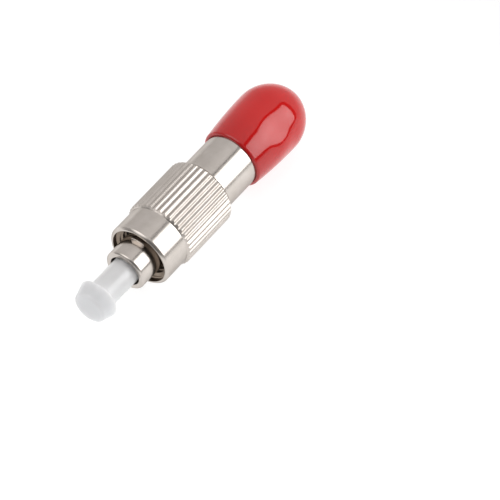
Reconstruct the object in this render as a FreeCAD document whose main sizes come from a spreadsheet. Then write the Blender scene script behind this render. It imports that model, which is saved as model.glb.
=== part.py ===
import FreeCAD, Part
import math
import os
import Sketcher

# Inline fibre optic adapter, plug to socket, with both dust caps on.
# X runs along the axis from the plug towards the socket, Z is up through the key,
# and the origin is the centre of the plug barrel's front face. Sizes are in mm.

doc = FreeCAD.newDocument("fibre_optic_adapter")
sheet = doc.addObject("Spreadsheet::Sheet", "sizes")
names = []
parts = []


class Size:
    """A length kept both as a number and as a formula over the named cells."""

    def __init__(self, text, value):
        self.text = text
        self.value = value

    def __add__(self, other):
        other = as_size(other)
        return Size(f"({self.text} + {other.text})", self.value + other.value)

    def __sub__(self, other):
        other = as_size(other)
        return Size(f"({self.text} - {other.text})", self.value - other.value)

    def __mul__(self, other):
        other = as_size(other)
        return Size(f"({self.text} * {other.text})", self.value * other.value)

    def __truediv__(self, other):
        other = as_size(other)
        return Size(f"({self.text} / {other.text})", self.value / other.value)

    def __neg__(self):
        return Size(f"(-{self.text})", -self.value)


def as_size(value):
    return value if isinstance(value, Size) else Size(str(value), value)


def across(hypotenuse, side):
    """The other side of a right triangle."""
    square = hypotenuse * hypotenuse - side * side
    return Size(f"sqrt({square.text})", math.sqrt(square.value))


def at_most(length, limit):
    """A length that gives way to a limit."""
    return Size(f"min({length.text}; {limit.text})", min(length.value, limit.value))


def size(name, value):
    """Write one driving dimension into the next row of the sheet."""
    names.append(name)
    row = len(names)
    sheet.set(f"A{row}", name)
    sheet.set(f"B{row}", str(value))
    sheet.setAlias(f"B{row}", name)
    return Size(f"sizes.{name}", value)


# Fits
fixed_gap = size("fixed_gap", 0.02)
guide_gap = size("guide_gap", 0.01)
slip_gap = size("slip_gap", 0.1)
stop_gap = size("stop_gap", 0.05)
edge = size("edge", 0.2)

# Screw thread shared by the coupling nut and the socket
thread_dia = size("thread_dia", 8.0)
thread_pitch = size("thread_pitch", 0.75)
thread_r = thread_dia / 2
thread_minor_r = (thread_dia - thread_pitch * 1.0825) / 2

# Plug shell, seen from outside
barrel_dia = size("barrel_dia", 6.0)
barrel_bore_dia = size("barrel_bore_dia", 4.5)
barrel_length = size("barrel_length", 6.0)
flange_length = size("flange_length", 1.4)
flange_step = size("flange_step", 0.5)
key_width = size("key_width", 2.0)
key_length = size("key_length", 2.0)
key_setback = size("key_setback", 2.7)
barrel_r = barrel_dia / 2
barrel_bore_r = barrel_bore_dia / 2
flange_r = thread_minor_r - slip_gap
flange_back = barrel_length + flange_length
neck_r = flange_r - flange_step

# Coupling nut and its snap ring
nut_setback = size("nut_setback", 2.95)
nut_length = size("nut_length", 13.55)
nut_travel = size("nut_travel", 3.4)
nut_wall = size("nut_wall", 0.75)
collar_step = size("collar_step", 0.35)
collar_length = size("collar_length", 4.15)
collar_chamfer = size("collar_chamfer", 0.3)
mouth_lead = size("mouth_lead", 0.15)
mouth_depth = size("mouth_depth", 0.7)
knurl_depth = size("knurl_depth", 0.33)
knurl_groove = size("knurl_groove", 0.68)
knurl_teeth = size("knurl_teeth", 40)
knurl_chamfer = size("knurl_chamfer", 0.4)
rear_gap = size("rear_gap", 0.25)
rear_sink = size("rear_sink", 0.3)
ring_length = size("ring_length", 0.6)
ring_bite = size("ring_bite", 0.55)
ring_slit = size("ring_slit", 1.2)
lip_length = size("lip_length", 0.7)
mouth_r = thread_r + mouth_lead
rear_bore_r = thread_r + rear_gap
knurl_r = rear_bore_r + nut_wall
collar_r = knurl_r - collar_step
rear_chamfer = at_most(knurl_chamfer, nut_wall * 0.55)
rear_lead = at_most(rear_sink, nut_wall * 0.4)
ring_x = flange_back + nut_travel + stop_gap
groove_front = ring_x - nut_setback - stop_gap
groove_back = groove_front + ring_length + stop_gap * 2
groove_r = thread_minor_r + ring_bite + slip_gap
lip_back = groove_back + lip_length

# Socket body, with the plug shell's spigot in its front
socket_mouth = size("socket_mouth", 31.4)
socket_depth = size("socket_depth", 5.5)
socket_chamfer = size("socket_chamfer", 0.45)
mate_gap = size("mate_gap", 0.05)
slot_clearance = size("slot_clearance", 0.1)
spigot_length = size("spigot_length", 4.0)
socket_front = nut_setback + lip_back + stop_gap * 2
socket_length = socket_mouth - socket_front
socket_floor = socket_length - socket_depth
socket_bore_r = barrel_r + mate_gap
mouth_chamfer = at_most(socket_chamfer, (thread_r - socket_bore_r) / 2)
slot_depth = socket_depth - key_setback + slot_clearance
spigot_back = socket_front + spigot_length

# Ferrule, with the split sleeve and the holder that line it up with its mate
ferrule_dia = size("ferrule_dia", 2.5)
ferrule_reach = size("ferrule_reach", 4.0)
ferrule_face_dia = size("ferrule_face_dia", 1.5)
ferrule_taper = size("ferrule_taper", 0.7)
fibre_dia = size("fibre_dia", 0.125)
mating_depth = size("mating_depth", 9.5)
sleeve_wall = size("sleeve_wall", 0.34)
sleeve_slit = size("sleeve_slit", 0.5)
sleeve_play = size("sleeve_play", 1.2)
holder_wall = size("holder_wall", 0.45)
holder_flange = size("holder_flange", 1.0)
holder_setback = size("holder_setback", 1.8)
holder_lip = size("holder_lip", 0.7)
ferrule_r = ferrule_dia / 2
ferrule_length = socket_mouth - mating_depth + ferrule_reach
fibre_r = fibre_dia / 2
sleeve_bore_r = ferrule_r + guide_gap
sleeve_r = sleeve_bore_r + sleeve_wall
holder_length = socket_mouth - holder_setback - spigot_back
holder_bore_r = sleeve_r + mate_gap
holder_r = holder_bore_r + holder_wall
sleeve_x = spigot_back + sleeve_play / 2
sleeve_length = holder_length - holder_lip - sleeve_play
counterbore_depth = spigot_length + holder_flange

# Collar on the ferrule, its seat in the plug shell, and the spring behind it
tail_share = size("tail_share", 0.43)
web_front = size("web_front", 5.6)
web_length = size("web_length", 1.4)
nose_wall = size("nose_wall", 0.3)
nose_length = size("nose_length", 0.8)
head_length = size("head_length", 1.4)
tail_length = size("tail_length", 3.0)
wire_width = size("wire_width", 0.4)
spring_turns = size("spring_turns", 4)
seat_length = size("seat_length", 1.8)
web_back = web_front + web_length
spring_room = neck_r - ferrule_r - wire_width - slip_gap * 2
nose_r = ferrule_r + nose_wall
tail_r = ferrule_r + spring_room * tail_share
head_r = tail_r + slip_gap + wire_width
spring_bore_r = head_r + slip_gap
head_back = nose_length + head_length
tail_back = head_back + tail_length
collar_x = web_back + fixed_gap - nose_length
spring_x = collar_x + head_back
seat_x = spigot_back - seat_length
spring_length = seat_x - spring_x

# White cap on the ferrule
white_reach = size("white_reach", 7.54)
white_inside = size("white_inside", 3.5)
white_gap = size("white_gap", 0.275)
white_head_length = size("white_head_length", 2.26)
white_head_dia = size("white_head_dia", 5.76)
white_face_dia = size("white_face_dia", 3.66)
white_round = size("white_round", 0.56)
white_floor_gap = size("white_floor_gap", 0.3)
white_length = white_reach + white_inside
white_head_r = white_head_dia / 2
white_face_r = white_face_dia / 2
white_tube_r = barrel_bore_r - white_gap
white_bore_r = ferrule_r + fixed_gap
white_floor = white_reach - ferrule_reach - white_floor_gap

# Red cap on the socket thread
red_overlap = size("red_overlap", 8.5)
red_lip_wall = size("red_lip_wall", 0.36)
red_wall = size("red_wall", 0.875)
red_shoulder = size("red_shoulder", 8.14)
red_nose = size("red_nose", 5.5)
red_tip_wall = size("red_tip_wall", 2.0)
red_bore_r = thread_r + mate_gap
red_mouth_r = red_bore_r + red_lip_wall
red_shoulder_r = red_bore_r + red_wall
red_swell = red_wall - red_lip_wall
red_side_round = (red_shoulder * red_shoulder + red_swell * red_swell) / (red_swell * 2)
red_length = red_shoulder + red_nose
red_floor = red_overlap + slip_gap
red_end = red_length - red_tip_wall
red_end_r = red_bore_r * 0.62


def new_part(label, x):
    """Start one piece whose own zero lies at x on the axis."""
    body = doc.addObject("PartDesign::Body", label)
    body.Label = label
    body.setExpression("Placement.Base.x", as_size(x).text)
    parts.append(body)
    return body


def origin_plane(body, role):
    return [item for item in body.Origin.OriginFeatures if item.Role == role][0]


def arc_between(start, end, radius):
    """Arc that bulges to the left of the way from start to end."""
    chord = end - start
    middle = (start + end) / 2
    rise = math.sqrt(radius ** 2 - (chord.Length / 2) ** 2)
    right = FreeCAD.Vector(chord.y, -chord.x, 0) / chord.Length
    centre = middle + right * rise
    first = math.atan2(end.y - centre.y, end.x - centre.x)
    last = math.atan2(start.y - centre.y, start.x - centre.x)
    circle = Part.Circle(centre, FreeCAD.Vector(0, 0, 1), radius)
    return Part.ArcOfCircle(circle, first, last)


def hold(sketch, kind, geometry, point, value):
    """Tie one coordinate of a point to a size, or to the axis where it is zero."""
    value = as_size(value)
    if value.value == 0:
        axis = -2 if kind == "DistanceX" else -1
        sketch.addConstraint(Sketcher.Constraint("PointOnObject", geometry, point, axis))
        return
    if value.value > 0:
        ends = (-1, 1, geometry, point)
        text = value.text
    else:
        ends = (geometry, point, -1, 1)
        text = f"-{value.text}"
    index = sketch.addConstraint(Sketcher.Constraint(kind, *ends, abs(value.value)))
    sketch.setExpression(f"Constraints[{index}]", text)


def closed_sketch(body, name, role, corners, offset=None):
    """Closed outline through corners (x, y), or (x, y, radius) where an arc leads to the corner."""
    sketch = body.newObject("Sketcher::SketchObject", name)
    sketch.AttachmentSupport = [(origin_plane(body, role), "")]
    sketch.MapMode = "FlatFace"
    if offset is not None:
        sketch.setExpression("AttachmentOffset.Base.z", offset.text)
    points = [FreeCAD.Vector(as_size(c[0]).value, as_size(c[1]).value, 0) for c in corners]
    ends = []
    for i, point in enumerate(points):
        j = (i + 1) % len(points)
        if len(corners[j]) == 3:
            radius = corners[j][2]
            index = sketch.addGeometry(arc_between(point, points[j], radius.value))
            held = sketch.addConstraint(Sketcher.Constraint("Radius", index, radius.value))
            sketch.setExpression(f"Constraints[{held}]", radius.text)
            ends.append((index, 2, 1))
        else:
            index = sketch.addGeometry(Part.LineSegment(point, points[j]))
            ends.append((index, 1, 2))
    for i, corner in enumerate(corners):
        geometry, start, finish = ends[i]
        before, _, last = ends[i - 1]
        sketch.addConstraint(Sketcher.Constraint("Coincident", before, last, geometry, start))
        hold(sketch, "DistanceX", geometry, start, corner[0])
        hold(sketch, "DistanceY", geometry, start, corner[1])
    return sketch


def turn(body, corners):
    """Turned solid from a half section: x along the axis, y the radius."""
    sketch = closed_sketch(body, f"{body.Name}_section", "XY_Plane", corners)
    turned = body.newObject("PartDesign::Revolution", f"{body.Name}_turned")
    turned.Profile = sketch
    turned.ReferenceAxis = (sketch, ["H_Axis"])
    turned.Angle = 360
    sketch.Visibility = False
    return turned


def cut_along(body, name, corners, start, length):
    """Cut an outline drawn across the axis, from start towards the socket."""
    sketch = closed_sketch(body, f"{name}_outline", "YZ_Plane", corners, start)
    cut = body.newObject("PartDesign::Pocket", name)
    cut.Profile = sketch
    cut.Reversed = True
    cut.setExpression("Length", length.text)
    sketch.Visibility = False
    return cut


def slit(body, name, width, height, start, length):
    """Cut a straight slit from the axis outwards, at the key's side."""
    half = width / 2
    corners = [(-half, 0), (half, 0), (half, height), (-half, height)]
    return cut_along(body, name, corners, start, length)


zero = Size("0", 0.0)

# Plug shell: barrel, flange, and a neck for the ring that runs on into the socket body
plug_shell = new_part("plug_shell", zero)
turn(plug_shell, [
    (0, barrel_bore_r),
    (0, barrel_r - edge),
    (edge, barrel_r),
    (barrel_length, barrel_r),
    (barrel_length, flange_r),
    (flange_back, flange_r),
    (flange_back, neck_r),
    (spigot_back, neck_r),
    (spigot_back, spring_bore_r),
    (web_back, spring_bore_r),
    (web_back, nose_r + slip_gap),
    (web_front, nose_r + slip_gap),
    (web_front, barrel_bore_r),
])
key_half = key_width / 2
key_foot = (barrel_r + barrel_bore_r) / 2
key_top = across(flange_r, key_half)
key_outline = closed_sketch(plug_shell, "key_outline", "YZ_Plane", [
    (-key_half, key_foot),
    (-key_half, key_top),
    (key_half, key_top, flange_r),
    (key_half, key_foot),
], key_setback)
key = plug_shell.newObject("PartDesign::Pad", "key")
key.Profile = key_outline
key.setExpression("Length", key_length.text)
key_outline.Visibility = False

# Socket body: plain in front, threaded at the socket, with a slot for the mate's key
socket_body = new_part("socket_body", socket_front)
turn(socket_body, [
    (0, neck_r + fixed_gap),
    (0, thread_r),
    (socket_length - mouth_chamfer, thread_r),
    (socket_length, thread_r - mouth_chamfer),
    (socket_length, socket_bore_r),
    (socket_floor, socket_bore_r),
    (socket_floor, holder_r + fixed_gap),
    (counterbore_depth, holder_r + fixed_gap),
    (counterbore_depth, neck_r + fixed_gap),
])
slot_width = key_width + slot_clearance * 2
slit(socket_body, "key_slot", slot_width, thread_dia, socket_length - slot_depth, slot_depth)

# Sleeve holder: flanged tube clamped between the two bodies, lipped at the socket
sleeve_holder = new_part("sleeve_holder", spigot_back)
turn(sleeve_holder, [
    (0, holder_bore_r),
    (0, neck_r),
    (holder_flange, neck_r),
    (holder_flange, holder_r),
    (holder_length, holder_r),
    (holder_length, ferrule_r + slip_gap),
    (holder_length - holder_lip, ferrule_r + slip_gap),
    (holder_length - holder_lip, holder_bore_r),
])

# Split sleeve: a tube slit along its whole length
split_sleeve = new_part("split_sleeve", sleeve_x)
turn(split_sleeve, [
    (0, sleeve_bore_r),
    (0, sleeve_r),
    (sleeve_length, sleeve_r),
    (sleeve_length, sleeve_bore_r),
])
slit(split_sleeve, "sleeve_slit_cut", sleeve_slit, sleeve_r * 2, zero, sleeve_length)

# Spring seat: bush against the front of the sleeve holder
spring_seat = new_part("spring_seat", seat_x)
turn(spring_seat, [
    (0, ferrule_r + slip_gap),
    (0, spring_bore_r - fixed_gap),
    (seat_length, spring_bore_r - fixed_gap),
    (seat_length, ferrule_r + slip_gap),
])

# Ferrule: ceramic stub tapered at both ends
ferrule = new_part("ferrule", -ferrule_reach)
turn(ferrule, [
    (0, fibre_r),
    (0, ferrule_face_dia / 2),
    (ferrule_taper, ferrule_r),
    (ferrule_length - ferrule_taper, ferrule_r),
    (ferrule_length, ferrule_face_dia / 2),
    (ferrule_length, fibre_r),
])

# Fibre that fills the bore of the ferrule
fibre_core = new_part("fibre_core", -ferrule_reach)
turn(fibre_core, [
    (0, 0),
    (0, fibre_r),
    (ferrule_length, fibre_r),
    (ferrule_length, 0),
])

# Collar pressed on the ferrule: nose in the web, head on its seat, tail in the spring
ferrule_collar = new_part("ferrule_collar", collar_x)
turn(ferrule_collar, [
    (0, ferrule_r),
    (0, nose_r),
    (nose_length, nose_r),
    (nose_length, head_r),
    (head_back, head_r),
    (head_back, tail_r),
    (tail_back, tail_r),
    (tail_back, ferrule_r),
])

# Coil spring of square wire between the collar's head and its seat
ferrule_spring = new_part("ferrule_spring", spring_x)
wire_near = fixed_gap
wire_far = wire_near + wire_width
wire_section = closed_sketch(ferrule_spring, "wire_section", "XY_Plane", [
    (wire_near, head_r - wire_width),
    (wire_near, head_r),
    (wire_far, head_r),
    (wire_far, head_r - wire_width),
])
coil = ferrule_spring.newObject("PartDesign::AdditiveHelix", "coil")
coil.Profile = wire_section
coil.ReferenceAxis = (wire_section, ["H_Axis"])
coil.Mode = "height-turns-angle"
coil.setExpression("Height", (spring_length - wire_far - fixed_gap).text)
coil.setExpression("Turns", spring_turns.text)
wire_section.Visibility = False

# Snap ring: rides on the neck, sprung into the nut's groove
nut_ring = new_part("nut_ring", ring_x)
turn(nut_ring, [
    (0, neck_r + slip_gap),
    (0, thread_minor_r + ring_bite),
    (ring_length, thread_minor_r + ring_bite),
    (ring_length, neck_r + slip_gap),
])
slit(nut_ring, "ring_slit_cut", ring_slit, thread_dia, zero, ring_length)

# Coupling nut: smooth collar, knurl, open mouth, thread bore, ring groove and rear bore
coupling_nut = new_part("coupling_nut", nut_setback)
turn(coupling_nut, [
    (0, mouth_r),
    (0, collar_r - collar_chamfer),
    (collar_chamfer, collar_r),
    (collar_length, collar_r),
    (collar_length + collar_step, knurl_r),
    (nut_length - rear_chamfer, knurl_r),
    (nut_length, knurl_r - rear_chamfer),
    (nut_length, rear_bore_r + rear_lead),
    (nut_length - rear_lead, rear_bore_r),
    (lip_back, rear_bore_r),
    (lip_back, thread_minor_r),
    (groove_back, thread_minor_r),
    (groove_back, groove_r),
    (groove_front, groove_r),
    (groove_front, thread_minor_r),
    (mouth_depth, thread_minor_r),
    (mouth_depth, mouth_r),
])
knurl_cut = cut_along(coupling_nut, "knurl_cut", [
    (0, knurl_r - knurl_depth),
    (knurl_groove, knurl_r + knurl_depth),
    (-knurl_groove, knurl_r + knurl_depth),
], zero, nut_length)
knurl = coupling_nut.newObject("PartDesign::PolarPattern", "knurl")
knurl.Originals = [knurl_cut]
knurl.Axis = (knurl_cut.Profile[0], ["N_Axis"])
knurl.Angle = 360
knurl.setExpression("Occurrences", knurl_teeth.text)
coupling_nut.Tip = knurl
# Turned half a tooth, so that a tooth and not a groove stands at the top
coupling_nut.Placement.Rotation = FreeCAD.Rotation(FreeCAD.Vector(1, 0, 0), 180 / knurl_teeth.value)
coupling_nut.setExpression("Placement.Rotation.Angle", f"180 deg / {knurl_teeth.text}")

# White cap: tapered head on a tube that covers the ferrule
ferrule_cap = new_part("ferrule_cap", -white_reach)
turn(ferrule_cap, [
    (0, 0),
    (0, white_face_r),
    (white_round * 0.3, white_face_r + white_round * 0.7),
    (white_round, white_face_r + white_round),
    (white_head_length, white_head_r),
    (white_head_length, white_tube_r),
    (white_length, white_tube_r),
    (white_length, white_bore_r),
    (white_floor, white_bore_r),
    (white_floor, 0),
])

# Red cap: thin at the mouth, swelling to a blunt nose that rounds off in even steps
nose_steps = 4
nose = []
for step in range(1, nose_steps):
    angle = math.radians(90 * step / nose_steps)
    nose.append((red_shoulder + red_nose * math.sin(angle), red_shoulder_r * math.cos(angle)))
thread_cap = new_part("thread_cap", socket_mouth - red_overlap)
turn(thread_cap, [
    (0, red_bore_r),
    (0, red_mouth_r),
    (red_shoulder, red_shoulder_r, red_side_round),
    *nose,
    (red_length, 0),
    (red_end, 0),
    (red_end, red_end_r),
    (red_floor, red_end_r),
    (red_floor, red_bore_r),
])

doc.recompute()
for item in doc.Objects:
    if "Invalid" in item.State or "Error" in item.State:
        raise RuntimeError(f"{item.Label} did not build: {item.State}")
os.makedirs("parts", exist_ok=True)
for body in parts:
    if body.Shape.isNull() or not body.Shape.isValid():
        raise RuntimeError(f"{body.Label} is not a valid solid")
    body.Shape.exportStep(f"parts/{body.Label}.step")
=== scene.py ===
import math

import bpy
from mathutils import Matrix, Vector


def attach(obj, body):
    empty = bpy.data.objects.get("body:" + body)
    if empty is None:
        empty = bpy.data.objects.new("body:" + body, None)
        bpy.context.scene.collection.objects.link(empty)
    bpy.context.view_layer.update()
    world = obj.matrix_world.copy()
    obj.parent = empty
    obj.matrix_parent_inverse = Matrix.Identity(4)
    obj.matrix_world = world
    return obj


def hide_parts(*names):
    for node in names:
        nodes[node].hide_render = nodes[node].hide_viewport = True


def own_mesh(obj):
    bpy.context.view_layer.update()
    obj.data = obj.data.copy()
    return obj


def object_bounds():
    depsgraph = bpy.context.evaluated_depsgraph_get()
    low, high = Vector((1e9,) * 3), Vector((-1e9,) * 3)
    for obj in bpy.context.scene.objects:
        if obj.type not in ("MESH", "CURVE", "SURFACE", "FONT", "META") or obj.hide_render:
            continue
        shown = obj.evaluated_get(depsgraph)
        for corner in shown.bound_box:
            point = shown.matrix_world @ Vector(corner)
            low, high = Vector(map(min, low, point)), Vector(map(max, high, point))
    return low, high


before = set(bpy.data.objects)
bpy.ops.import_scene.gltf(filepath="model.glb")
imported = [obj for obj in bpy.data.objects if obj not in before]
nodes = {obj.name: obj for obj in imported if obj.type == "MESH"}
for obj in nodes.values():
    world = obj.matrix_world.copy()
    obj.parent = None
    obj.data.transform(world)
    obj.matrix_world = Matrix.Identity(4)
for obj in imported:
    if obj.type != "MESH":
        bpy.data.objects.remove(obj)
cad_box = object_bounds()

MM = 0.001
PITCH = 0.75  # of both screw threads, in mm
NEAR = 0.004  # a vertex this close to a ring, in mm, lies on it


# Hand tools

def pick(piece, test):
    """Selects, in edit mode, the vertices that pass a test on x, radius and turn from the key (mm, degrees)."""
    bpy.ops.mesh.select_mode(type="VERT")
    bpy.ops.mesh.select_all(action="DESELECT")
    bpy.ops.object.mode_set(mode="OBJECT")
    for v in piece.data.vertices:
        x, y, z = v.co / MM
        v.select = bool(test(x, math.hypot(y, z), math.degrees(math.atan2(y, z)) % 360))
    bpy.ops.object.mode_set(mode="EDIT")


def ring(x, r):
    """A test for the vertices of one ring of a turned piece."""
    return lambda vx, vr, turn: abs(vx - x) < NEAR and abs(vr - r) < NEAR


def turned(name, sides, stations, round_edges=()):
    """Adds a ring at the first station, pulls it from station to station, and rounds the named edges."""
    x, r = stations[0]
    bpy.ops.object.select_all(action="DESELECT")
    bpy.ops.mesh.primitive_circle_add(
        vertices=sides, radius=r * MM, location=(x * MM, 0, 0), rotation=(0, math.pi / 2, 0))
    piece = bpy.context.object
    piece.name = piece.data.name = name
    bpy.ops.object.transform_apply(location=True, rotation=True, scale=True)
    bpy.ops.object.mode_set(mode="EDIT")
    bpy.ops.mesh.select_all(action="SELECT")
    for to_x, to_r in stations[1:]:
        bpy.ops.mesh.extrude_region_move(TRANSFORM_OT_translate={"value": ((to_x - x) * MM, 0, 0)})
        bpy.ops.transform.resize(value=(1, to_r / r, to_r / r), center_override=(to_x * MM, 0, 0))
        x, r = to_x, to_r
    bpy.ops.mesh.select_all(action="SELECT")
    bpy.ops.mesh.remove_doubles(threshold=1e-6)
    if stations[0] != stations[-1]:
        pick(piece, ring(*stations[0]))
        bpy.ops.mesh.edge_face_add()
    bpy.ops.mesh.select_all(action="SELECT")
    bpy.ops.mesh.normals_make_consistent(inside=False)
    for edge_x, edge_r, width in round_edges:
        pick(piece, ring(edge_x, edge_r))
        bpy.ops.mesh.bevel(offset=width * MM, segments=3, affect="EDGES")
    bpy.ops.object.mode_set(mode="OBJECT")
    return piece


def arc(centre_x, centre_r, radius, start, end, steps):
    """Stations on an arc, from start to end in degrees, where 0 points along the axis and 90 away from it."""
    turns = [math.radians(start + (end - start) * i / steps) for i in range(1, steps + 1)]
    return [(centre_x + radius * math.cos(t), centre_r + radius * math.sin(t)) for t in turns]


def block(middle, size):
    """Adds a cube, moves it to its middle and sizes it, in mm."""
    bpy.ops.object.select_all(action="DESELECT")
    bpy.ops.mesh.primitive_cube_add(size=1)
    piece = bpy.context.object
    piece.location = Vector(middle) * MM
    piece.scale = Vector(size) * MM
    bpy.ops.object.transform_apply(location=True, rotation=True, scale=True)
    return piece


def coil(name, pitch, turns, steps):
    """Carries the edges of the active outline round the axis, one pitch a turn, and closes the two ends."""
    piece = bpy.context.object
    piece.name = piece.data.name = name
    screw = piece.modifiers.new("screw", "SCREW")
    screw.axis = "X"
    screw.screw_offset = pitch * MM
    screw.iterations = turns
    screw.steps = screw.render_steps = steps
    bpy.ops.object.modifier_apply(modifier=screw.name)
    bpy.ops.object.mode_set(mode="EDIT")
    bpy.ops.mesh.select_all(action="SELECT")
    bpy.ops.mesh.remove_doubles(threshold=1e-7)
    bpy.ops.mesh.select_all(action="SELECT")
    bpy.ops.mesh.fill_holes(sides=0)
    bpy.ops.mesh.select_all(action="SELECT")
    bpy.ops.mesh.normals_make_consistent(inside=False)
    bpy.ops.object.mode_set(mode="OBJECT")
    return piece


def thread_tool(x, turns, near_r, near_half, far_r, far_half):
    """A cutter for one thread: a plane sized to the groove, tapered to its root and carried round the axis."""
    bpy.ops.object.select_all(action="DESELECT")
    bpy.ops.mesh.primitive_plane_add(size=1, rotation=(math.pi / 2, 0, 0))
    tool = bpy.context.object
    tool.location = (x * MM, 0, (near_r + far_r) / 2 * MM)
    tool.scale = (near_half * 2 * MM, (far_r - near_r) * MM, 1)
    bpy.ops.object.transform_apply(location=True, rotation=True, scale=True)
    bpy.ops.object.mode_set(mode="EDIT")
    pick(tool, lambda vx, vr, turn: abs(vr - far_r) < 0.01)
    taper = far_half / near_half
    bpy.ops.transform.resize(value=(taper, 1, 1), center_override=(x * MM, 0, far_r * MM))
    bpy.ops.mesh.select_all(action="SELECT")
    bpy.ops.mesh.delete(type="ONLY_FACE")
    bpy.ops.object.mode_set(mode="OBJECT")
    return coil("thread_tool", PITCH, turns, steps=72)


def carve(piece, tool, operation):
    """Cuts the tool out of the piece, or joins it on, and merges the vertices that this leaves doubled."""
    bpy.ops.object.select_all(action="DESELECT")
    bpy.context.view_layer.objects.active = piece
    piece.select_set(True)
    carving = piece.modifiers.new("carving", "BOOLEAN")
    carving.operation = operation
    carving.solver = "EXACT"
    carving.object = tool
    bpy.ops.object.modifier_apply(modifier=carving.name)
    bpy.data.objects.remove(tool)
    bpy.ops.object.mode_set(mode="EDIT")
    bpy.ops.mesh.select_all(action="SELECT")
    bpy.ops.mesh.remove_doubles(threshold=1e-7)
    bpy.ops.object.mode_set(mode="OBJECT")


def smooth(piece, degrees):
    """Shades the piece smooth, and leaves edges sharper than the angle crisp."""
    bpy.ops.object.select_all(action="DESELECT")
    bpy.context.view_layer.objects.active = piece
    piece.select_set(True)
    bpy.ops.object.shade_smooth_by_angle(angle=math.radians(degrees))


# Coupling nut with its knurl and its inside thread
TEETH = 40
STEPS = 8  # vertices to a tooth
NUT_R = 5.0
KNURL_FRONT, KNURL_REAR = 7.45, 16.1
nut = turned("nut_with_thread", TEETH * STEPS, [
    (2.95, 4.15), (2.95, 4.35), (3.25, 4.65), (3.4, 4.65), (7.1, 4.65), (7.12, 4.67), (KNURL_FRONT, NUT_R),
    (KNURL_REAR, NUT_R), (16.43, 4.67), (16.5, 4.6), (16.5, 4.55), (16.2, 4.25), (12.2, 4.25), (12.2, 3.594),
    (11.5, 3.594), (11.5, 4.244), (10.8, 4.244), (10.8, 3.594), (3.95, 3.594), (3.65, 4.15), (2.95, 4.15),
], [(2.95, 4.15, 0.04), (2.95, 4.35, 0.05), (3.25, 4.65, 0.08)])
bpy.ops.object.mode_set(mode="EDIT")
# A tooth is rounded as a rolled knurl is: its tip stays, and its other vertices go in towards the middle of the
# groove. At both ends they also move out, because the chamfers there slope at nearly 45 degrees.
CHAMFER = 0.94  # mm outwards for each mm of depth
for steps, depth in (((1, 7), 0.014), ((2, 6), 0.088), ((3, 5), 0.19), ((4,), 0.222)):
    shrink = 1 - depth / NUT_R
    for end, way in ((KNURL_FRONT, -1), (KNURL_REAR, 1)):
        on_rim = ring(end, NUT_R)
        pick(nut, lambda x, r, turn: on_rim(x, r, turn) and round(turn * TEETH * STEPS / 360) % STEPS in steps)
        bpy.ops.transform.resize(value=(1, shrink, shrink), center_override=(0, 0, 0))
        bpy.ops.transform.translate(value=(way * depth * CHAMFER * MM, 0, 0))
bpy.ops.object.mode_set(mode="OBJECT")
thread = thread_tool(x=2.75, turns=11, near_r=3.45, near_half=0.364, far_r=4.0, far_half=0.047)
carve(nut, thread, "DIFFERENCE")
smooth(nut, 40)
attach(nut, "nut")
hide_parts("coupling_nut")

# Plug barrel with its key, which is rounded over the top to the barrel's flange
barrel = turned("plug_barrel", 160, [
    (0, 2.25), (0, 2.34), (0, 2.71), (0, 2.8), (0.2, 3.0), (0.32, 3.0), (6.0, 3.0), (6.0, 3.494), (7.4, 3.494),
    (7.4, 2.994), (16.3, 2.994), (16.3, 2.342), (7.0, 2.342), (7.0, 1.65), (5.6, 1.65), (5.6, 2.25),
    (0.15, 2.25), (0, 2.25),
], [(0, 2.25, 0.06), (0, 2.8, 0.06), (0.2, 3.0, 0.06)])
key = block(middle=(3.7, 0, 3.2), size=(2.0, 2.0, 1.2))
carve(key, turned("key_rounding", 160, [(2.0, 3.494), (5.4, 3.494), (5.4, 0)]), "INTERSECT")
bpy.ops.object.mode_set(mode="EDIT")
bpy.ops.mesh.select_mode(type="EDGE")
bpy.ops.mesh.select_all(action="DESELECT")
bpy.ops.mesh.edges_select_sharp(sharpness=math.radians(30))
bpy.ops.mesh.bevel(offset=0.05 * MM, segments=3, affect="EDGES")
bpy.ops.object.mode_set(mode="OBJECT")
carve(barrel, key, "UNION")
smooth(barrel, 30)
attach(barrel, "housing")
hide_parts("plug_shell")

# Socket body with its outside thread, the relief where the thread starts, and the slot for a key
socket = turned("socket_with_thread", 160, [
    (12.3, 3.014), (12.3, 4.0), (12.5, 4.0), (23.5, 4.0), (23.7, 3.52), (24.3, 3.52), (24.5, 4.0), (30.95, 4.0),
    (31.4, 3.55), (31.4, 3.05), (25.9, 3.05), (25.9, 2.12), (17.3, 2.12), (17.3, 3.014), (12.3, 3.014),
], [(12.3, 4.0, 0.1)])
thread = thread_tool(x=24.05, turns=11, near_r=4.06, near_half=0.363, far_r=3.54, far_half=0.047)
carve(socket, thread, "DIFFERENCE")
carve(socket, block(middle=(30.5, 0, 3.6), size=(4.0, 2.2, 2.4)), "DIFFERENCE")
smooth(socket, 30)
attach(socket, "housing")
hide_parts("socket_body")

# White push cap, moulded with a round-edged head
white_cap = turned("white_push_cap", 128, [
    (-4.3, 1.27), (3.5, 1.27), (3.5, 1.975), (3.2, 1.975), (-5.0, 1.975), (-5.28, 1.975), (-5.28, 2.877),
    (-5.5, 2.814), (-6.98, 2.39), *arc(-6.98, 1.83, 0.56, 90, 180, 8), (-7.54, 1.7), (-7.54, 0.6), (-7.54, 0),
], [(3.5, 1.975, 0.12), (3.5, 1.27, 0.12), (-5.28, 1.975, 0.15), (-5.28, 2.877, 0.14)])
smooth(white_cap, 40)
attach(white_cap, "white_cap")
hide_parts("ferrule_cap")

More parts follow.
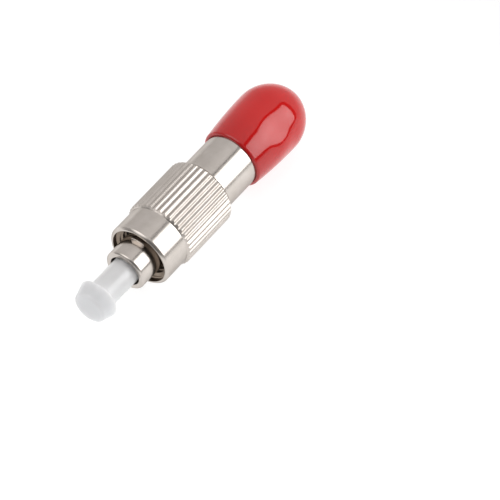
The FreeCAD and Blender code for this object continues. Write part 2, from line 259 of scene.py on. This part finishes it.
# Red dipped cap: a slow swell from the mouth to the shoulder, then a blunt round nose
red_cap = turned("red_dipped_cap", 160, [
    (34.54, 2.511), (31.5, 2.511), (31.5, 4.05), (23.6, 4.05), (22.9, 4.01), (22.9, 4.41),
    *arc(31.04, -59.66, 64.585, 97.24, 90, 32),
    *arc(31.04, -0.685, 5.61, 90, 18.98, 28),
    *arc(33.03, 0, 3.51, 18.98, 2, 8), (36.54, 0),
], [(22.9, 4.01, 0.04), (22.9, 4.41, 0.26), (31.5, 4.05, 0.3)])
# The soft wall is pressed a little flat on the upper right, about 5 mm behind the mouth: it is pushed in,
# straight towards the axis, and swells out a little beside that.
bpy.ops.object.mode_set(mode="EDIT")
for at_x, at_turn, depth, width in ((28.24, 315.0, 0.21, 2.9), (28.24, 283.5, -0.15, 2.5)):
    pick(red_cap, lambda x, r, turn: abs(x - at_x) < 0.13 and abs(turn - at_turn) < 1.2 and r > 4.4)
    inward = math.radians(at_turn + 180)
    bpy.ops.transform.translate(
        value=(0, depth * math.sin(inward) * MM, depth * math.cos(inward) * MM), use_proportional_edit=True,
        use_proportional_connected=True, proportional_edit_falloff="SMOOTH", proportional_size=width * MM)
bpy.ops.object.mode_set(mode="OBJECT")
smooth(red_cap, 40)
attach(red_cap, "red_cap")
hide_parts("thread_cap")

# Coil spring of round wire behind the ferrule's collar
bpy.ops.object.select_all(action="DESELECT")
bpy.ops.mesh.primitive_circle_add(
    vertices=16, radius=0.2 * MM, location=(8.64 * MM, 0, 2.042 * MM), rotation=(math.pi / 2, 0, 0))
bpy.ops.object.transform_apply(location=True, rotation=True, scale=True)
spring = coil("round_wire_spring", pitch=1.41, turns=4, steps=64)
smooth(spring, 50)
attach(spring, "housing")
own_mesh(spring)
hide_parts("ferrule_spring")


# Materials

def tint(code):
    """A colour written as sRGB hex, turned to linear for the shader."""
    parts = [int(code[i:i + 2], 16) / 255 for i in (1, 3, 5)]
    return [c / 12.92 if c <= 0.04045 else ((c + 0.055) / 1.055) ** 2.4 for c in parts] + [1.0]


def wire(node, inputs):
    """Feeds a node's sockets: an output is linked, and a number or a colour is set on the socket itself."""
    for name, value in inputs.items():
        if isinstance(value, bpy.types.NodeSocket):
            node.id_data.links.new(value, node.inputs[name])
        else:
            node.inputs[name].default_value = value


def add(tree, kind, inputs, stops=(), **fields):
    """Adds one node with its fields, its sockets and, for a colour ramp, its two stops."""
    made = tree.nodes.new(kind)
    for name, value in fields.items():
        setattr(made, name, value)
    for i, (at, code) in enumerate(stops):
        made.color_ramp.elements[i].position = at
        made.color_ramp.elements[i].color = tint(code)
    wire(made, inputs)
    return made


def fresh(name):
    """A new material, with its tree, its shader and the place of each point in metres."""
    material = bpy.data.materials.new(name)
    material.use_nodes = True
    tree = material.node_tree
    return material, tree, tree.nodes["Principled BSDF"], add(tree, "ShaderNodeTexCoord", {}).outputs["Object"]


# Bright nickel plated on turned brass: a warm grey mirror, softened by fine rings left by the lathe tool and by
# faint clouds in the plating.
nickel, tree, shader, place = fresh("bright_nickel_plate")
axes = add(tree, "ShaderNodeSeparateXYZ", {"Vector": place})
# Tool marks are about 0.03 mm apart on such a part, and are drawn 0.12 mm apart to show.
along = add(tree, "ShaderNodeMath", {0: axes.outputs["X"], 1: 1 / (0.12 * MM)}, operation="MULTIPLY")
marks = add(tree, "ShaderNodeTexNoise", {"W": along.outputs["Value"], "Scale": 1.0}, noise_dimensions="1D")
# Clouds in the plating are about 1.5 mm across.
clouds = add(tree, "ShaderNodeTexNoise", {"Vector": place, "Scale": 1 / (1.5 * MM), "Detail": 3.0})
tone = add(tree, "ShaderNodeValToRGB", {"Fac": clouds.outputs["Fac"]}, [(0.3, "#C8C1BA"), (0.7, "#D0C9C3")])
polish = add(tree, "ShaderNodeMapRange", {"Value": marks.outputs["Fac"], "To Min": 0.16, "To Max": 0.24})
# The nut's knurl, more than 4.7 mm from the axis, is handled and duller than the turned faces.
across = add(tree, "ShaderNodeCombineXYZ", {"Y": axes.outputs["Y"], "Z": axes.outputs["Z"]})
reach = add(tree, "ShaderNodeVectorMath", {0: across.outputs["Vector"]}, operation="LENGTH")
wear = add(tree, "ShaderNodeMapRange", {
    "Value": reach.outputs["Value"], "From Min": 4.7 * MM, "From Max": 4.8 * MM, "To Max": 0.16})
gloss = add(tree, "ShaderNodeMath", {0: polish.outputs["Result"], 1: wear.outputs["Result"]}, operation="ADD")
relief = add(tree, "ShaderNodeBump", {"Height": marks.outputs["Fac"], "Strength": 0.25, "Distance": 0.002 * MM})
# Plated brass is a little darker at glancing angles than a clean mirror.
wire(shader, {
    "Metallic": 1.0, "Specular Tint": tint("#CDCBC9"), "Base Color": tone.outputs["Color"],
    "Roughness": gloss.outputs["Value"], "Normal": relief.outputs["Normal"]})

# Nickel inside the nut's bore: the same metal, dull, with painted shade that makes it darker and browner than
# the turned faces.
bore_nickel_painted_shade, tree, shader, place = fresh("nickel_with_painted_bore_shade")
# Stains in the bore are about 0.6 mm across.
stains = add(tree, "ShaderNodeTexNoise", {"Vector": place, "Scale": 1 / (0.6 * MM), "Detail": 3.0})
# The two dark browns are painted shade for the recess; the stains only vary them.
tone = add(tree, "ShaderNodeValToRGB", {"Fac": stains.outputs["Fac"]}, [(0.3, "#85786C"), (0.7, "#978A7D")])
gloss = add(tree, "ShaderNodeMapRange", {"Value": stains.outputs["Fac"], "To Min": 0.28, "To Max": 0.4})
wire(shader, {"Metallic": 1.0, "Base Color": tone.outputs["Color"], "Roughness": gloss.outputs["Result"]})

# Plastisol vinyl, dip moulded: a wet red gloss over soft plastic, with a gently uneven skin, and a deeper red
# towards the mouth.
vinyl, tree, shader, place = fresh("dipped_red_vinyl")
axes = add(tree, "ShaderNodeSeparateXYZ", {"Vector": place})
# The deeper red fades out over about 5 mm from the mouth.
depth = add(tree, "ShaderNodeMapRange", {
    "Value": axes.outputs["X"], "From Min": 22.9 * MM, "From Max": 28.0 * MM})
# The skin's slow swell is about 4 mm across, and its fine ripple 0.7 mm.
swell = add(tree, "ShaderNodeTexNoise", {"Vector": place, "Scale": 1 / (4.0 * MM), "Detail": 1.0})
ripple = add(tree, "ShaderNodeTexNoise", {"Vector": place, "Scale": 1 / (0.7 * MM)})
tone = add(tree, "ShaderNodeValToRGB", {"Fac": depth.outputs["Result"]}, [(0.0, "#B80A0B"), (1.0, "#C90F0D")])
gloss = add(tree, "ShaderNodeMapRange", {"Value": ripple.outputs["Fac"], "To Min": 0.04, "To Max": 0.1})
wave = add(tree, "ShaderNodeBump", {"Height": swell.outputs["Fac"], "Strength": 0.5, "Distance": 0.09 * MM})
relief = add(tree, "ShaderNodeBump", {
    "Height": ripple.outputs["Fac"], "Normal": wave.outputs["Normal"], "Strength": 0.2, "Distance": 0.006 * MM})
wire(shader, {
    "IOR": 1.53, "Specular IOR Level": 0.57, "Subsurface Weight": 0.1, "Subsurface Scale": 0.4 * MM,
    "Subsurface Radius": (1.0, 0.25, 0.2), "Base Color": tone.outputs["Color"],
    "Roughness": gloss.outputs["Result"], "Normal": relief.outputs["Normal"]})

# Natural polyethylene, injection moulded: milky and slightly see-through, with a waxy sheen and faint flow
# marks.
wax_white, tree, shader, place = fresh("natural_polyethylene")
axes = add(tree, "ShaderNodeSeparateXYZ", {"Vector": place})
# The head, past 5 mm in front of the plug, is painted greyer than the tube as shade.
painted_head_shade = add(tree, "ShaderNodeMapRange", {
    "Value": axes.outputs["X"], "From Min": -5.5 * MM, "From Max": -4.5 * MM})
# Flow marks are about 2 mm across, and the mould's grain is drawn at 0.25 mm, coarser than it is, to show.
flow = add(tree, "ShaderNodeTexNoise", {"Vector": place, "Scale": 1 / (2.0 * MM)})
grain = add(tree, "ShaderNodeTexNoise", {"Vector": place, "Scale": 1 / (0.25 * MM)})
cloudy = add(tree, "ShaderNodeMath", {
    0: flow.outputs["Fac"], 1: 0.12, 2: painted_head_shade.outputs["Result"]}, operation="MULTIPLY_ADD")
# The darker stop is the head's painted shade, the lighter one the tube's own white.
tone = add(tree, "ShaderNodeValToRGB", {"Fac": cloudy.outputs["Value"]}, [(0.0, "#D2D3D5"), (1.0, "#E8E9EB")])
gloss = add(tree, "ShaderNodeMapRange", {"Value": grain.outputs["Fac"], "To Min": 0.28, "To Max": 0.38})
relief = add(tree, "ShaderNodeBump", {"Height": grain.outputs["Fac"], "Strength": 0.1, "Distance": 0.01 * MM})
wire(shader, {
    "IOR": 1.51, "Specular IOR Level": 0.8, "Subsurface Weight": 1.0, "Subsurface Scale": 3.0 * MM,
    "Subsurface Radius": (1.0, 1.0, 1.0), "Coat Weight": 0.5, "Coat Roughness": 0.2,
    "Base Color": tone.outputs["Color"], "Roughness": gloss.outputs["Result"],
    "Normal": relief.outputs["Normal"]})

# Zirconia, sintered and polished: a dense ivory white with a glassy shine and the faintest mottle.
ceramic, tree, shader, place = fresh("polished_zirconia")
# The mottle is about 0.8 mm across.
mottle = add(tree, "ShaderNodeTexNoise", {"Vector": place, "Scale": 1 / (0.8 * MM), "Detail": 3.0})
tone = add(tree, "ShaderNodeValToRGB", {"Fac": mottle.outputs["Fac"]}, [(0.3, "#E9E7DF"), (0.7, "#F1EFE8")])
gloss = add(tree, "ShaderNodeMapRange", {"Value": mottle.outputs["Fac"], "To Min": 0.08, "To Max": 0.16})
wire(shader, {
    "IOR": 2.15, "Subsurface Weight": 0.2, "Subsurface Scale": 0.3 * MM,
    "Base Color": tone.outputs["Color"], "Roughness": gloss.outputs["Result"]})

# Silica fibre, drawn: clear glass with a slightly brighter core.
glass, tree, shader, place = fresh("drawn_silica")
axes = add(tree, "ShaderNodeSeparateXYZ", {"Vector": place})
across = add(tree, "ShaderNodeCombineXYZ", {"Y": axes.outputs["Y"], "Z": axes.outputs["Z"]})
reach = add(tree, "ShaderNodeVectorMath", {0: across.outputs["Vector"]}, operation="LENGTH")
# The fibre is 0.125 mm across.
core = add(tree, "ShaderNodeMapRange", {"Value": reach.outputs["Value"], "From Max": 0.0625 * MM})
tone = add(tree, "ShaderNodeValToRGB", {"Fac": core.outputs["Result"]}, [(0.0, "#FFFFFF"), (1.0, "#DCE8F0")])
wire(shader, {"IOR": 1.458, "Transmission Weight": 0.8, "Roughness": 0.05, "Base Color": tone.outputs["Color"]})

# Spring steel, drawn to wire and rolled: a dark grey metal with fine lines from the die.
steel, tree, shader, place = fresh("drawn_spring_steel")
# Die lines are far finer than 0.05 mm, and are drawn at 0.1 mm to show.
lines = add(tree, "ShaderNodeTexNoise", {"Vector": place, "Scale": 1 / (0.1 * MM), "Detail": 3.0})
tone = add(tree, "ShaderNodeValToRGB", {"Fac": lines.outputs["Fac"]}, [(0.3, "#9A9894"), (0.7, "#B0AEAA")])
gloss = add(tree, "ShaderNodeMapRange", {"Value": lines.outputs["Fac"], "To Min": 0.22, "To Max": 0.38})
relief = add(tree, "ShaderNodeBump", {"Height": lines.outputs["Fac"], "Strength": 0.2, "Distance": 0.002 * MM})
wire(shader, {
    "Metallic": 1.0, "Base Color": tone.outputs["Color"], "Roughness": gloss.outputs["Result"],
    "Normal": relief.outputs["Normal"]})

for finish, dressed in (
    (nickel, (nut, barrel, socket, nodes["sleeve_holder"], nodes["spring_seat"], nodes["ferrule_collar"],
              nodes["coupling_nut"], nodes["plug_shell"], nodes["socket_body"])),
    (vinyl, (red_cap, nodes["thread_cap"])),
    (wax_white, (white_cap, nodes["ferrule_cap"])),
    (ceramic, (nodes["ferrule"], nodes["split_sleeve"])),
    (glass, (nodes["fibre_core"],)),
    (steel, (spring, nodes["nut_ring"], nodes["ferrule_spring"])),
):
    for piece in dressed:
        piece.data.materials.clear()
        piece.data.materials.append(finish)
# The bore, which carries the painted shade: the nut's faces within 4.16 mm of the axis, from just behind its
# front edge.
nut.data.materials.append(bore_nickel_painted_shade)
for face in nut.data.polygons:
    if math.hypot(face.center.y, face.center.z) < 4.16 * MM and face.center.x > 3.05 * MM:
        face.material_index = 1


# Studio, in metres: a pale round table top, one tall softbox with a grey rim, and even grey light all round

bpy.ops.object.select_all(action="DESELECT")
bpy.ops.mesh.primitive_circle_add(
    vertices=96, radius=1.6, fill_type="NGON", location=(0.013, 0, cad_box[0].z - 0.02 * MM))
table = bpy.context.object
table.name = table.data.name = "table_top"
bpy.ops.object.transform_apply(location=True, rotation=True, scale=True)
bpy.ops.object.mode_set(mode="EDIT")
bpy.ops.mesh.select_all(action="SELECT")
bpy.ops.mesh.extrude_region_move(TRANSFORM_OT_translate={"value": (0, 0, -0.02)})
bpy.ops.mesh.select_all(action="SELECT")
bpy.ops.mesh.normals_make_consistent(inside=False)
bpy.ops.object.mode_set(mode="OBJECT")

# Opal acrylic light table: an even white that glows a little, most in the middle, so that shadows stay faint.
opal, tree, shader, place = fresh("opal_acrylic")
# The haze is about 60 mm across.
haze = add(tree, "ShaderNodeTexNoise", {"Vector": place, "Scale": 1 / (60 * MM), "Detail": 1.0})
tone = add(tree, "ShaderNodeValToRGB", {"Fac": haze.outputs["Fac"]}, [(0.0, "#8A8A8A"), (1.0, "#8E8E8E")])
reach = add(tree, "ShaderNodeVectorMath", {0: place}, operation="LENGTH")
glow = add(tree, "ShaderNodeMapRange", {
    "Value": reach.outputs["Value"], "From Min": 0.05, "From Max": 0.11, "To Min": 0.85, "To Max": 0.5})
wire(shader, {
    "Base Color": tone.outputs["Color"], "Roughness": 0.6, "Emission Color": tint("#FFFFFF"),
    "Emission Strength": glow.outputs["Result"]})
table.data.materials.append(opal)

middle = Vector((13.0, 0, 0)) * MM
towards = Vector((0.574, -0.638, 0.514)).normalized()
long_way = Vector((0.013, -0.601, -0.799))
long_way = (long_way - towards * long_way.dot(towards)).normalized()
short_way = long_way.cross(towards)
turn_box = Matrix((short_way, long_way, towards)).transposed().to_4x4()
box_middle = middle + towards * 0.5 + long_way * 0.016 + short_way * 0.025
BOX_WIDTH, BOX_LENGTH, BOX_RIM = 0.465, 0.678, 0.09

bpy.ops.object.select_all(action="DESELECT")
bpy.ops.mesh.primitive_plane_add(size=1)
softbox = bpy.context.object
softbox.name = softbox.data.name = "softbox"
box_size = Matrix.Diagonal((BOX_WIDTH, BOX_LENGTH, 1, 1))
softbox.matrix_world = Matrix.Translation(box_middle) @ turn_box @ box_size
bpy.ops.object.transform_apply(location=True, rotation=True, scale=True)
bpy.ops.object.mode_set(mode="EDIT")
bpy.ops.mesh.select_all(action="SELECT")
bpy.ops.mesh.bevel(offset=0.2, segments=8, affect="VERTICES")
bpy.ops.mesh.select_all(action="SELECT")
bpy.ops.mesh.inset(thickness=BOX_RIM)
bpy.ops.object.mode_set(mode="OBJECT")
# Grey nylon rim of the softbox: dull, with a weave too fine to see from here, drawn 5 mm across.
cloth, tree, shader, place = fresh("grey_nylon")
weave = add(tree, "ShaderNodeTexNoise", {"Vector": place, "Scale": 1 / (5 * MM)})
tone = add(tree, "ShaderNodeValToRGB", {"Fac": weave.outputs["Fac"]}, [(0.0, "#7C7A78"), (1.0, "#868482")])
wire(shader, {"Base Color": tone.outputs["Color"], "Roughness": 0.9})
# White diffuser cloth of the softbox, lit from behind: brightest in the middle, half as bright 0.3 m from it,
# and dim over the last 30 mm to its edges.
EDGE_FADE = 0.03
diffuser, tree, shader, place = fresh("lit_diffuser_cloth")
offset = add(tree, "ShaderNodeVectorMath", {0: place, 1: box_middle}, operation="SUBTRACT").outputs["Vector"]
reach = add(tree, "ShaderNodeVectorMath", {0: offset}, operation="LENGTH")
glow = add(tree, "ShaderNodeMapRange", {
    "Value": reach.outputs["Value"], "From Max": 0.3, "To Min": 3.4, "To Max": 1.8}).outputs["Result"]
for way, size in ((short_way, BOX_WIDTH), (long_way, BOX_LENGTH)):
    edge = size / 2 - BOX_RIM
    side = add(tree, "ShaderNodeVectorMath", {0: offset, 1: way}, operation="DOT_PRODUCT")
    away = add(tree, "ShaderNodeMath", {0: side.outputs["Value"]}, operation="ABSOLUTE")
    fade = add(tree, "ShaderNodeMapRange", {
        "Value": away.outputs["Value"], "From Min": edge - EDGE_FADE, "From Max": edge,
        "To Min": 1.0, "To Max": 0.1})
    dimmed = add(tree, "ShaderNodeMath", {0: glow, 1: fade.outputs["Result"]}, operation="MULTIPLY")
    glow = dimmed.outputs["Value"]
wire(shader, {"Roughness": 0.9, "Emission Color": tint("#FFFFFF"), "Emission Strength": glow})
softbox.data.materials.append(cloth)
softbox.data.materials.append(diffuser)
max(softbox.data.polygons, key=lambda face: face.area).material_index = 1

world = bpy.data.worlds.new("grey_room")
world.use_nodes = True
tree = world.node_tree
way = add(tree, "ShaderNodeTexCoord", {}).outputs["Generated"]
facing = add(tree, "ShaderNodeVectorMath", {0: way, 1: towards}, operation="DOT_PRODUCT")
# The room is an even grey that brightens a little around the softbox and is dark in front of the plug.
spill = add(tree, "ShaderNodeMapRange", {
    "Value": facing.outputs["Value"], "From Min": 0.35, "From Max": 0.9, "To Min": 0.7, "To Max": 0.88})
axes = add(tree, "ShaderNodeSeparateXYZ", {"Vector": way})
front = add(tree, "ShaderNodeMapRange", {
    "Value": axes.outputs["X"], "From Min": -0.9, "From Max": 0.0, "To Min": 0.25, "To Max": 1.0})
grey = add(tree, "ShaderNodeMath", {
    0: spill.outputs["Result"], 1: front.outputs["Result"]}, operation="MULTIPLY")
# A second, weaker lamp stands in front and to the left, high up.
second = add(tree, "ShaderNodeVectorMath", {0: way, 1: (-0.5, 0.374, 0.781)}, operation="DOT_PRODUCT")
fill = add(tree, "ShaderNodeMapRange", {
    "Value": second.outputs["Value"], "From Min": 0.85, "From Max": 0.95, "To Min": 0.0, "To Max": 1.4})
light = add(tree, "ShaderNodeMath", {0: grey.outputs["Value"], 1: fill.outputs["Result"]}, operation="ADD")
wire(tree.nodes["Background"], {"Color": tint("#FFFDFC"), "Strength": light.outputs["Value"]})
bpy.context.scene.world = world
bpy.context.scene.view_settings.view_transform = "Standard"

# Camera at the photograph's view: 450 mm away, on a long lens, level from side to side
azimuth, height = math.radians(-53.2), math.radians(51.4)
back = Vector((math.sin(azimuth) * math.cos(height), -math.cos(azimuth) * math.cos(height), math.sin(height)))
level = Vector((math.cos(azimuth), math.sin(azimuth), 0))
stand = middle + back * 0.45
aim = Vector((14.469, -9.257, -3.347)) * MM
look_back = (stand - aim).normalized()
look_right = (level - look_back * level.dot(look_back)).normalized()
look_up = look_back.cross(look_right)
lens = bpy.data.cameras.new("camera")
lens.lens = 250.8
lens.sensor_width = 36.0
lens.clip_start = 0.01
lens.clip_end = 10.0
camera = bpy.data.objects.new("camera", lens)
camera.matrix_world = Matrix.Translation(stand) @ Matrix((look_right, look_up, look_back)).transposed().to_4x4()
bpy.context.collection.objects.link(camera)
bpy.context.scene.camera = camera
